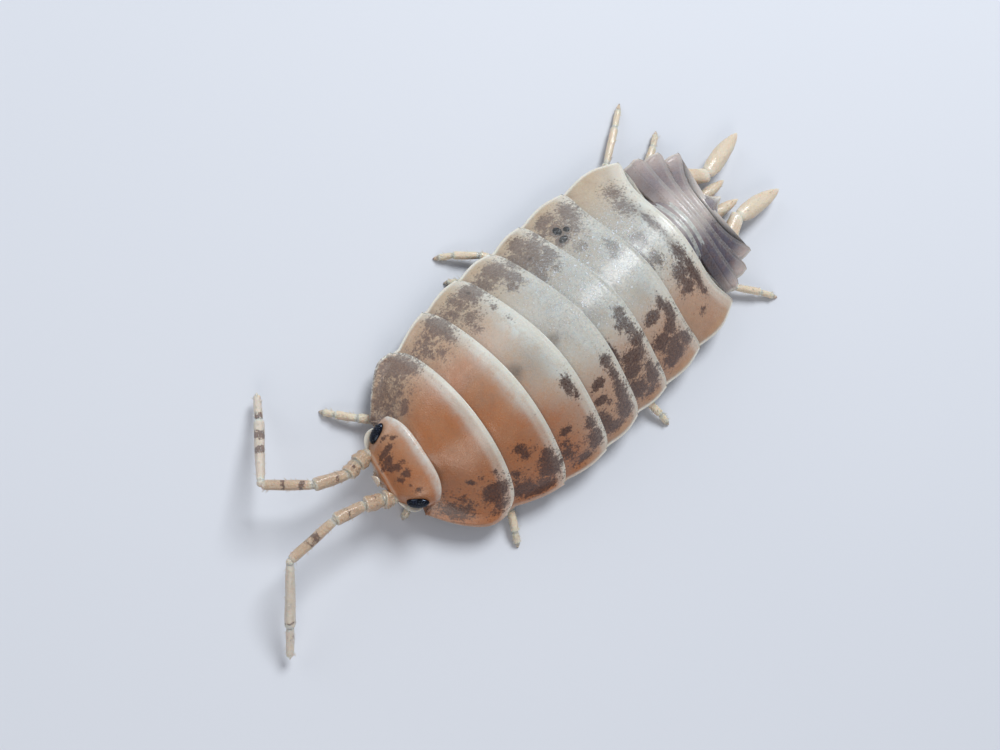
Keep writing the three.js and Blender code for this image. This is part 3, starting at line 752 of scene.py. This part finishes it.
def trunk_layers(name, q, t, y):
    """Warm tissue in front and on the left, a milky back with a painted bluish sheen before each rear
    margin, a painted sparkle highlight, painted shade at the plate fronts and near the midline, and pale
    rims.
    """
    ahead = 1 - ease(3.8, 8.4, y)
    left = ease(0.04, 0.32, q)
    right = ease(-0.15, -0.6, q)
    wash = (0.4 + 0.2 * right) * bell(np.abs(q), 0.6, 0.17 + 0.04 * right)
    if name == "pereonite_1":
        wash = np.maximum(wash, 0.56 * ease(-0.36, -0.56, q))
    if name == "pereonite_7":
        wash = 0 * q
    band = ease(lerp(0.4, 0.62, ahead), 0.95, t) * (1 - 0.85 * left) * (1 - 0.5 * right)
    # Milky back, and a painted bluish sheen over the band before each rear margin
    milk = 0.8 * ease(4.5, 8.5, y) * bell(q, -0.08, 0.34) + (0.75 - 0.35 * ahead) * band
    warm = ahead * (1 - 0.7 * right) + 0.6 * left * (1 - 0.4 * ease(0.75, 1, q))
    shadow = spots_at(PAINTED_SHADE_PATCHES.get(name, ()), q, t, 1)
    rear_line = 0.4 * ease(0.78, 0.9, t) + 0.45 * ease(0.95, 1.0, t)
    side_line = ease(0.86, 1.0, np.abs(q)) * (1 - 0.75 * ahead * left)
    return {
        "pigment": np.maximum(pigment_at(name, q, t), wash),
        "warm": np.clip(warm, 0, 1),
        "milk": np.clip(milk, 0, 1),
        "rim": np.clip(np.maximum(rear_line, side_line), 0, 1),
        "cool": ease(0.15, -0.25, q),
        # Painted shade: grey patches near the midline, and each plate's front darker under the plate before
        "painted_shade": np.maximum(shadow, 0.35 * (1 - ease(0.0, 0.16, t))),
        # Painted sparkle highlight on the middle back
        "painted_sparkle": ease(7.0, 10.0, y) * (1 - ease(13.4, 14.8, y)) * bell(q, -0.16, 0.27),
    }


def tail_layers(name, q, t):
    """Pale to grey plates, grey where the warm layer is high, with pale tips, pale rear margins with a
    painted bluish sheen on the front two plates, and painted shade at their fronts.
    """
    rearmost = name[-1] in "345"
    aside = np.abs(q)
    warm = 0.08 + 0.92 * ease(0.02, 0.22, q) + 0.5 * ease(-0.2, -0.42, q) + (0 if rearmost else 0.25)
    warm = np.clip(warm, 0, 1) * (1 - ease(0.5, 0.8, aside) * (0.95 if rearmost else 0.35))
    return {
        "pigment": 0.12 + 0.25 * ease(0.05, 0.25, q) * ease(0.65, 0.45, q),
        "warm": warm,
        # Pale midline, and a painted bluish sheen along the rear margins of the front two plates
        "milk": 0.2 * bell(q, 0, 0.15) + (0.12 if rearmost else 0.75) * ease(0.8, 0.97, t),
        "rim": np.maximum(0.1 * ease(0.95, 1.0, t), 0.5 * ease(0.86, 1.0, aside)),
        "cool": 1.0,
        # Painted shade at each plate's front, under the plate before
        "painted_shade": 0.3 * (1 - ease(0, 0.3, t)),
    }


def plate_rows():
    """(place along the plate, forward tuck in mm, shell left open) for each ring, front to rear."""
    rows = [(0, TUCK, 0.0)]
    rows += [(0, TUCK * (1 - k / 6), 1.0) for k in range(6)]
    rows += [(t, 0, 1.0) for t in np.linspace(0, 1, PLATE_RINGS)]
    rows += [(1, -LIP_OVER * k / 3, 1.0) for k in range(1, 4)]
    turns = np.linspace(0, np.pi / 2, 6)[1:]
    return rows + [(1, -LIP_OVER - LIP_HALF * math.sin(a), math.cos(a)) for a in turns]


def section(width, s, y, levels, rim, count):
    """A closed ring across a plate: its upper side, left rim, lower side and right rim."""
    out, middle, half = rim
    turns = np.linspace(0, np.pi, count + 2)[1:-1]
    rim_x, rim_z = width + out * np.sin(turns), middle + half * np.cos(turns)
    left, right = bend(rim_x, y[-1], rim_z), bend(-rim_x, y[0], rim_z)
    upper, lower = (bend(width * s, y, level) for level in levels)
    return np.concatenate([upper, left, lower[::-1], right[::-1]])


def ring_places(q, count):
    """The places across a plate of the points of such a ring."""
    return np.concatenate([q, np.ones(count), q[::-1], -np.ones(count)])


def plate_ring(spec, t, tuck, squeeze):
    """One closed section across a plate, with the places across and along the body at its points."""
    q = np.linspace(-1, 1, PLATE_STEPS + 1)
    s = np.sin(np.pi / 2 * q)
    width = lerp(spec["front_width"], spec["rear_width"], t) + spec["bulge"] * math.sin(math.pi * t)
    ridge = lerp(spec["front_ridge"], spec["rear_ridge"], t)
    rim = spec["edge"] + RIM_HALF
    bumps = relief(t, LENGTH_RELIEF) + relief(np.abs(q), SIDE_RELIEF) * math.sin(math.pi * t)
    top = rim + (ridge - rim) * arch(s) + bumps - TUCK_DROP * tuck / TUCK
    corner = spec["round"] * ease(0.35, 1, t) * np.abs(s) ** 20
    y = lerp(spec["front"](spec["front_width"] * s), spec["rear"](spec["rear_width"] * s), t)
    sides_stay = tuck < 0 or spec["name"] == "pereonite_1"
    y = y - corner - tuck * (1 - np.abs(s) ** 12 if sides_stay else 1)
    half = lerp(SHELL_HALF, LIP_HALF, ease(0.6, 1, t))
    fat = lerp(half, RIM_HALF, np.abs(s) ** 6)
    rim_middle = top[-1] - RIM_HALF
    ring = section(width, s, y, (top - fat + fat * squeeze, top - fat - fat * squeeze),
                   (RIM_OUT * squeeze, rim_middle, RIM_HALF * squeeze), 5)
    across = ring_places(q, 5)
    along = np.concatenate([y, np.full(5, y[-1]), y[::-1], np.full(5, y[0])])
    return ring, across, along


def back_plate(spec, material):
    rows = plate_rows()
    rings, q, y = map(np.array, zip(*[plate_ring(spec, *row) for row in rows]))
    t = np.array([[row[0]] for row in rows], float) + 0 * q
    name = spec["name"]
    layers = trunk_layers(name, q, t, y) if name.startswith("pereonite") else tail_layers(name, q, t)
    build = Build()
    build.loft(rings, **layers)
    build.piece(name + "_shell", material, [name])


SPECS = plate_specs()
for number, plate in enumerate(SPECS):
    if number < 2:
        back_plate(plate, TRUNK_SHELL)
    elif number < 7:
        back_plate(plate, TRUNK_SHELL)
    else:
        back_plate(plate, TAIL_SHELL)


# Tail plate: a pointed shield with hollowed sides
def tail_plate():
    q = np.linspace(-1, 1, 61)
    s = np.sin(np.pi / 2 * q)
    last = SPECS[-1]["rear"]
    places = np.concatenate([[-0.15], np.linspace(0, 1, 40)])
    rings = []
    for place in places:
        t = max(place, 0)
        width = lerp(TELSON_TIP_HALF, TELSON_ROOT_HALF, (1 - t) ** 1.5)
        rim, ridge, under = lerp(*TELSON_RIM, t), lerp(*TELSON_RIDGE, t), lerp(*TELSON_UNDER, t)
        y = lerp(last(TELSON_ROOT_HALF * s) + GAP, TELSON_TIP - 0.12 * np.abs(s) ** 2, place)
        hollow = -0.06 * bell(np.abs(q), 0.45, 0.2) * math.sin(math.pi * t)
        top = rim + (ridge - rim) * arch(s) + hollow
        rings.append(section(width, s, y, (top, under), (0.05, (rim + under) / 2, (rim - under) / 2), 4))
    across = ring_places(q, 4)[None]
    t = np.maximum(places, 0)[:, None]
    aside = np.abs(across)
    build = Build()
    build.loft(rings, warm=0.7 * (1 - ease(0.5, 1, aside)), cool=1.0, milk=0.4 * ease(0.3, 1, t),
               rim=np.maximum(ease(0.75, 1, aside), ease(0.6, 1, t)),
               pigment=0.45 * bell(aside, 0.45, 0.3) * (1 - ease(0.5, 0.9, t)))
    build.piece("telson_shell", TAIL_SHELL, ["telson"])


tail_plate()


# Head
def head_point(t, angle, swell=0.0, face=0.0):
    """A place on the head, from the face (0) to the crown (1) and round it, lifted off by swell.

    face shrinks the section onto the front.
    """
    ahead = max(1 - t, 0)
    width = HEAD_HALF_WIDTH - HEAD_TAPER * ahead ** 3.6
    low = HEAD_LOW + CHIN_RISE * ahead ** 9
    high = HEAD_RIDGE - HEAD_DROP * ahead ** 2.2
    shrink = np.cos(face * np.pi / 2)
    x = (width + swell) * boxy(np.cos(angle), HEAD_BOXINESS) * shrink
    z = (low + high) / 2 + ((high - low) / 2 + swell) * boxy(np.sin(angle), HEAD_BOXINESS) * shrink
    front = HEAD_FRONT + 0.12 * np.abs(x / 1.5) ** 8
    rear = HEAD_REAR + HEAD_SWEEP * np.abs(x / HEAD_HALF_WIDTH) ** TRUNK_POWER
    return bend(x, lerp(front, rear, t) - FACE_BULGE * np.sin(face * np.pi / 2), z)


def head_relief(t, angle):
    """Frontal line, the furrow behind it, sunken nape, eye sockets and temples."""
    line = 0.022 * bell(t, 0.02, 0.025) * (1 + 0.5 * np.sin(9 * angle))
    height = (line - 0.02 * bell(t, 0.1, 0.06) - 0.04 * ease(0.93, 1, t)) * ease(0.1, 0.35, np.sin(angle))
    for seat, temple in ((EYE_ANGLE, 0.36), (math.pi - EYE_ANGLE, -0.36)):
        socket = 0.06 * bell(angle, seat + temple, 0.14) - 0.08 * bell(angle, seat, 0.17)
        height = height + socket * bell(t, EYE_PLACE, 0.24)
    return height


def head_shell():
    angle = round_angles(144)
    steps = np.linspace(1, 0, 56)
    folds = np.linspace(0, 1, 16)[1:]
    rings = [head_point(1.02, angle, -0.12)]
    rings += [head_point(t, angle, head_relief(t, angle)) for t in steps]
    rings += [head_point(0, angle, head_relief(0, angle) * (1 - fold), fold) for fold in folds]
    t = np.concatenate([[1], steps, 0 * folds])[:, None]
    face = np.concatenate([[0], 0 * steps, folds])[:, None]
    upper = np.sin(angle)[None]
    across = np.cos(angle)[None]
    line = 0.3 * bell(t, 0.02, 0.02) * ease(0.1, 0.4, upper) * (1 - ease(0.05, 0.2, face))
    warm = 0.95 - 0.25 * ease(-0.2, -0.9, across) - 0.4 * ease(0.2, 0.7, face)
    milk = 0.6 * ease(0.72, 0.93, t) + 0.2 * ease(0.5, 0.9, t) * (1 - ease(-0.2, 0.5, across))
    pigment = pigment_at("head", across, t) * ease(0.15, 0.45, upper) * (1 - ease(0.02, 0.1, face))
    build = Build()
    build.loft(rings, warm=np.clip(warm, 0, 1), milk=milk, cool=0.3, pigment=pigment,
               rim=np.clip(line + 0.3 * ease(0.9, 0.99, t), 0, 1))
    build.piece("head_shell", HEAD_SHELL, ["head"])


def eye_frame(side):
    """The eye's seat, and its directions along the head, down its side and out of it."""
    angle = EYE_ANGLE if side > 0 else math.pi - EYE_ANGLE
    seat = head_point(EYE_PLACE, angle)
    along = unit(head_point(EYE_PLACE + 0.1, angle) - head_point(EYE_PLACE - 0.1, angle))
    down = unit(head_point(EYE_PLACE, angle - side * 0.1) - head_point(EYE_PLACE, angle + side * 0.1))
    out = unit(np.cross(along, down))
    out = out * math.copysign(1, out[0] * side)
    return seat, along, down, out


def dome(seat, along, down, out, sizes, around, rows):
    """A low oval dome with a closed base."""
    length, width, height = sizes
    rings = []
    for rise in np.linspace(0, np.pi / 2 * 0.98, rows):
        size = math.cos(rise)
        centre = seat + out * height * math.sin(rise)
        rings.append(oval(centre, along, down, length * size, width * size, round_angles(around)))
    return rings


def facets(build, base, along, down, out):
    """Rows of low facets over an eye, one more in each row towards the middle."""
    for row in range(-2, 3):
        amount = 7 - abs(row)
        for k in range(amount):
            u = (k - (amount - 1) / 2) * FACET_SPACING[0]
            v = row * FACET_SPACING[1]
            if u * u + v * v > 0.86:
                continue
            lift = math.sqrt(1 - u * u - v * v)
            place = base + along * EYE_LENGTH * u + down * EYE_WIDTH * v + out * EYE_HEIGHT * lift
            normal = unit(along * u / EYE_LENGTH + down * v / EYE_WIDTH + out * lift / EYE_HEIGHT)
            turn = unit(np.cross(normal, down))
            other = np.cross(normal, turn)
            build.loft(dome(place - FACET_SUNK * normal, turn, other, normal, FACET_SIZES, 14, 6))


def eyes():
    for name, side in SIDES.items():
        seat, along, down, out = eye_frame(side)
        base = seat - EYE_SUNK * out
        build = Build()
        build.loft(dome(base, along, down, out, (EYE_LENGTH, EYE_WIDTH, EYE_HEIGHT), 28, 9))
        facets(build, base, along, down, out)
        build.piece(f"eye_{name}_facets", EYE_BLACK, [f"eye_{name}"])


def side_lobe(build, side):
    """A pale lobe in front of and below an eye."""
    a = round_angles(24)
    angle = SIDE_LOBE_ANGLE if side > 0 else math.pi - SIDE_LOBE_ANGLE
    rings = []
    for k, t in enumerate(np.linspace(0.0, 0.4, 12)):
        reach = SIDE_LOBE_REACH * math.sin(math.pi * (k + 0.6) / 12.2) ** 0.7
        push = reach * (0.5 + 0.5 * np.cos(a))
        lobe = np.stack([side * push, -0.5 * push, 0.035 * np.sin(a) + 0.35 * push], -1)
        rings.append(head_point(t, angle, -0.05) + lobe)
    build.loft(rings, rim=0.35, warm=0.15, milk=0.7)


def head_lobes():
    """The side lobes, and the small middle lobe between the feelers."""
    build = Build()
    for side in SIDES.values():
        side_lobe(build, side)
    a = round_angles(24)
    rings = []
    for t in np.linspace(0, 1, 9):
        size = MIDDLE_LOBE * rounded(t, 0.12, 0.8)
        y = HEAD_FRONT - 0.2 - 0.14 * math.sin(math.pi * t)
        rings.append(bend(size * 1.2 * np.cos(a), y, MIDDLE_LOBE_TOP - 0.5 * t + size * 0.5 * np.sin(a)))
    build.loft(rings, rim=0.5, warm=0.4)
    build.piece("head_lobes", HEAD_SHELL)


head_shell()
eyes()
head_lobes()


# Limbs
def basis(direction):
    """Two directions square to a limb's own."""
    up = np.array([0.0, 0.0, 1.0])
    across = np.cross(direction, up)
    if np.linalg.norm(across) < 0.05:
        across = np.array([1.0, 0.0, 0.0])
    across = unit(across)
    return across, np.cross(across, direction)


def article(build, start, end, radius, end_radius, warm, flat=0.9, ribs=0.035, spots=(), profile=ARTICLE):
    """One limb article between two joints: narrow at its root, flared and rimmed at its end."""
    across, rise = basis(unit(end - start))
    around = round_angles(24)
    places, widths = zip(*profile)
    fine = np.interp(np.linspace(0, len(profile) - 1, 40), range(len(profile)), places)
    rings = []
    for t, size in zip(fine, np.interp(fine, places, widths)):
        swell = 1 + ribs * (np.cos(6 * around) + np.sin(3 * around + 9 * t)) * math.sin(math.pi * min(t, 1))
        r = size * lerp(radius, end_radius, t) * swell
        rings.append(oval(start + (end - start) * t, across, rise, r, flat * r, around))
    t = fine[:, None]
    rim = 0.55 * np.maximum(1 - ease(0.02, 0.14, t), ease(0.9, 1, t))
    build.loft(rings, rim=rim, warm=warm, pigment=relief(t, spots) * ease(-0.2, 0.5, np.sin(around)))


def joint_ball(build, place, radius):
    """The soft pale skin between two articles."""
    other, along, up = np.eye(3)
    rings = []
    for b in np.linspace(-np.pi / 2, np.pi / 2, 9):
        size = radius * math.cos(b)
        rings.append(oval(place + up * radius * math.sin(b), along, other, size, size, round_angles(16)))
    build.loft(rings, rim=0.3, warm=0.45)


def bristles(build, start, end, radius, amount, length, rng, lean=0.8):
    """Fine hairs that lean towards the limb's tip."""
    direction = unit(end - start)
    across, rise = basis(direction)
    for _ in range(amount):
        t, angle, size = rng.uniform(0.1, 0.98), rng.uniform(0, 2 * np.pi), rng.uniform(0.6, 1.2)
        out = across * math.cos(angle) + rise * math.sin(angle) * 0.9
        root = start + (end - start) * t + out * radius * 0.9
        way = unit(out + direction * lean)
        one, two = basis(way)
        rings = []
        for at, thick in ((0, HAIR), (0.5, 0.7 * HAIR), (1, 0.15 * HAIR)):
            rings.append(oval(root + way * length * size * at, one, two, thick, thick, round_angles(4)))
        build.loft(rings, rim=0.4, warm=0.3)


def peduncle(name, side, rng):
    """The thick root articles of a feeler."""
    joints = [on_side(side, place) for place in FEELERS[name]["peduncle"]]
    build = Build()
    for i, radius in enumerate(PEDUNCLE_RADII):
        start, end = joints[i], joints[i + 1]
        article(build, start, end, radius, radius * (0.95 if i < 3 else 0.8), 0.6 - 0.12 * i,
                ribs=0.08 if i < 2 else 0.04, spots=FEELER_SPOTS[name][i])
        joint_ball(build, start, radius * 0.72)
        bristles(build, start, end, radius, 26, 0.13, rng)
    build.piece(f"antenna_{name}_articles", FEELER_SKIN, [f"antenna_{name}_peduncle"])


def whip(name, side, rng):
    """The thin end articles of a feeler, and its tip."""
    root, middle, end = [on_side(side, place) for place in FEELERS[name]["flagellum"]]
    spots = FEELER_SPOTS[name]
    build = Build()
    joint_ball(build, root, 0.15)
    article(build, root, middle, *WHIP_RADII, 0.3, spots=spots[4])
    joint_ball(build, middle, 0.13)
    article(build, middle, end, *WHIP_END_RADII, 0.25, spots=spots[5])
    bristles(build, root, middle, 0.17, 60, 0.12, rng)
    bristles(build, middle, end, 0.15, 30, 0.12, rng)
    article(build, end, end + WHIP_TIP * unit(end - middle), 0.07, 0.02, 0.1, profile=TIP)
    build.piece(f"antenna_{name}_whip", WHIP_SKIN, [f"antenna_{name}_flagellum"])


def leg_point(name, side, number, t):
    root = np.array([COXA_X[number], COXA_Y[number]])
    foot = np.array(FEET[name][number])
    length = np.linalg.norm(foot - root)
    normal = np.array([foot[1] - root[1], root[0] - foot[0]]) / length
    x, y = lerp(root, foot, t) + BOWS[name][number] * math.sin(math.pi * t) * normal
    return bend(side * x, y, float(np.interp(t, LEG_TIMES, LEG_HEIGHTS)))


def leg(name, side, number):
    rng = np.random.default_rng(100 + 10 * number + side)
    joints = [leg_point(name, side, number, t) for t in LEG_JOINTS]
    build = Build()
    root = joints[0] + np.array([0, 0, LEG_ROOT_RISE])
    article(build, root, joints[1], LEG_ROOT_RADIUS, LEG_RADII[0], 0.2)
    for i in range(1, 5):
        start, end, radius = joints[i], joints[i + 1], LEG_RADII[i]
        article(build, start, end, radius, radius * 0.86, 0.25 - 0.05 * i)
        joint_ball(build, start, radius * 0.75)
        bristles(build, start, end, radius * 0.9, 16, 0.15, rng)
    foot = leg_point(name, side, number, 1)
    article(build, joints[5], foot, *CLAW_RADII, 0.5, spots=CLAW_SPOTS, profile=TIP)
    joint_ball(build, joints[5], 0.1)
    build.piece(f"leg_{name}_{number + 1}_articles", LIMB_SKIN, [f"leg_{name}_{number + 1}"])


def tail_base(name, side):
    """The block that carries the two blades of a tail limb."""
    last = SPECS[-1]["rear"]
    around = round_angles(32)
    c, s = np.cos(around), np.sin(around)
    steps = np.linspace(0, 1, 16)
    rings = []
    for t in steps:
        inner, outer, high = lerp(*BASE_INNER, t), lerp(*BASE_OUTER, t), lerp(*BASE_TOP, t)
        x = (inner + outer) / 2 + (outer - inner) / 2 * boxy(c, 0.7)
        z = (high + BASE_UNDER) / 2 + (high - BASE_UNDER) / 2 * boxy(s, 0.7)
        y = lerp(last(x) + 0.06, BASE_REAR - 0.15 * np.abs(c), t)
        rings.append(bend(side * x, y, z))
    build = Build()
    build.loft(rings, warm=0.35, rim=0.7 * ease(0.7, 1, steps)[:, None])
    build.piece(f"uropod_base_{name}_block", LIMB_SKIN, [f"uropod_base_{name}"])


def tail_blades(name, side):
    """The outer and the inner blade of a tail limb."""
    rng = np.random.default_rng(50 + side)
    for kind, blade in BLADES.items():
        root, tip = on_side(side, blade["root"]), on_side(side, blade[name])
        reach, out, amount, length = blade["hairs"]
        build = Build()
        article(build, root, tip, *blade["radii"], blade["warm"], flat=blade["flat"], profile=BLADE)
        bristles(build, root, lerp(root, tip, reach), out, amount, length, rng, 1.4)
        build.piece(f"uropod_{kind}_{name}_blade", LIMB_SKIN, [f"uropod_{kind}_{name}"])


def limbs(name, side):
    rng = np.random.default_rng(11 + side)
    peduncle(name, side, rng)
    whip(name, side, rng)
    tail_base(name, side)
    tail_blades(name, side)
    for number in range(7):
        leg(name, side, number)


for limb_side, sign in SIDES.items():
    limbs(limb_side, sign)


# Underside
def sternum():
    """The soft belly between the legs, one low swelling to each segment."""
    c, s = np.cos(round_angles(64)), np.sin(round_angles(64))
    rings, seams = [], []
    for t in np.linspace(0, 1, 180):
        y = lerp(*BELLY_ENDS, t)
        phase = np.interp(y, SEGMENT_ENDS, range(8)) % 1
        depth = BELLY_DEPTH + BELLY_SWELL * math.sin(math.pi * phase) ** 0.6
        top = np.interp(y, SEGMENT_ENDS, SEGMENT_TOPS) - BELLY_COVER - BELLY_LEVEL
        x = BELLY_HALF * rounded(t, 0.12, 0.35) * boxy(c, 0.7)
        z = BELLY_LEVEL + np.where(s > 0, top * np.abs(s), -depth * np.abs(s) ** 0.6)
        rings.append(bend(x, y, z))
        seams.append([0.6 * (1 - ease(0.0, 0.12, min(phase, 1 - phase)))])
    build = Build()
    build.loft(rings, warm=0.15, rim=seams)
    build.piece("sternum", BELLY_SKIN)


def gill_plate(build, side, pair):
    """One thin plate, wide in its middle and a little hollow."""
    a = round_angles(28)
    front, width = GILL_FRONT + GILL_STEP * pair, GILL_HALF - GILL_NARROWING * pair
    rings = []
    for t in np.linspace(0, 1, 12):
        x = side * (0.06 + 0.98 * width) + 0.98 * width * rounded(t, 0.14, 0.5) * np.cos(a)
        z = GILL_LEVEL - 0.02 * pair - 0.12 * t + 0.05 * np.sin(a) + 0.04 * np.cos(a) ** 2
        rings.append(bend(x, front + GILL_LENGTH * t, z))
    build.loft(rings, rim=0.5, warm=0.1)


def gill_plates():
    """Pairs of overlapping plates under the tail, and the body above them."""
    build = Build()
    for pair in range(GILL_PAIRS):
        for side in SIDES.values():
            gill_plate(build, side, pair)
    a = round_angles(28)
    rings = []
    for t in np.linspace(0, 1, 14):
        x, y = lerp(*GILL_BODY_HALVES, t) * np.cos(a), lerp(*GILL_BODY_ENDS, t)
        rings.append(bend(x, y, GILL_BODY_LEVEL + 0.32 * np.sin(a)))
    build.loft(rings, warm=0.2)
    build.piece("gill_plates", BELLY_SKIN, ["pleopods"])


def mouth():
    """Mandibles, maxilliped plates and the upper lip under the head."""
    build = Build()
    a = round_angles(24)
    for side in SIDES.values():
        for x, y, z, wide, long, thick in MOUTH_PLATES:
            rings = []
            for b in np.linspace(-np.pi / 2, np.pi / 2, 13):
                across = side * x + wide * math.cos(b) * np.cos(a)
                rings.append(bend(across, y + long * math.sin(b), z + thick * math.cos(b) * np.sin(a)))
            build.loft(rings, warm=0.4, rim=0.2)
    rings = []
    for t in np.linspace(0, 1, 12):
        size = rounded(t, 0.1, 0.5)
        z = MOUTH_LEVEL + 0.22 * size * np.sin(a)
        rings.append(bend(0.8 * size * np.cos(a), lerp(*MOUTH_ENDS, t), z))
    build.loft(rings, warm=0.35)
    build.piece("mouthpart_plates", BELLY_SKIN, ["mouthparts"])


sternum()
gill_plates()
mouth()


# Floor, light and camera
def floor():
    mesh = bpy.data.meshes.new("floor")
    corners = [(-1, -1), (1, -1), (1, 1), (-1, 1)]
    mesh.from_pydata([(x * FLOOR_HALF, y * FLOOR_HALF, 0) for x, y in corners], [], [(0, 1, 2, 3)])
    obj = add_object("floor", mesh)
    material, tree, shader = new_material("pale_floor", 0.7)
    g = Graph(tree)
    g.put(shader.inputs["Base Color"], g.mix(g.noise(0.02, 3.0), *FLOOR_COLOURS))
    mesh.materials.append(material)


def area_light(name, place, size, power, colour):
    """A round soft light aimed at the origin."""
    data = bpy.data.lights.new(name, "AREA")
    data.shape = "DISK"
    data.size = size
    data.energy = power
    data.color = colour
    obj = add_object(name, data)
    obj.location = place
    obj.rotation_mode = "QUATERNION"
    obj.rotation_quaternion = (-Vector(place)).to_track_quat("-Z", "Y")


def lights():
    for name, light in LIGHTS.items():
        area_light(name, *light)
    world = bpy.data.worlds.new("studio")
    bpy.context.scene.world = world
    world.use_nodes = True
    background = world.node_tree.nodes["Background"]
    background.inputs["Color"].default_value = ROOM_COLOUR
    background.inputs["Strength"].default_value = ROOM_STRENGTH


def camera():
    data = bpy.data.cameras.new("camera")
    data.lens = CAMERA_LENS
    data.sensor_width = 36.0
    data.clip_start = 0.001
    data.clip_end = 10.0
    obj = add_object("camera", data)
    right = Vector(CAMERA_RIGHT).normalized()
    forward = Vector(CAMERA_FORWARD).normalized()
    up = right.cross(forward)
    turn = Matrix((right, up, -forward)).transposed().to_4x4()
    place = (Vector(CAMERA_PLACE) + Vector(SHIFT)) * MM
    obj.matrix_world = Matrix.Translation(place) @ turn
    bpy.context.scene.camera = obj


floor()
lights()
camera()
bpy.context.scene.view_settings.view_transform = "Standard"
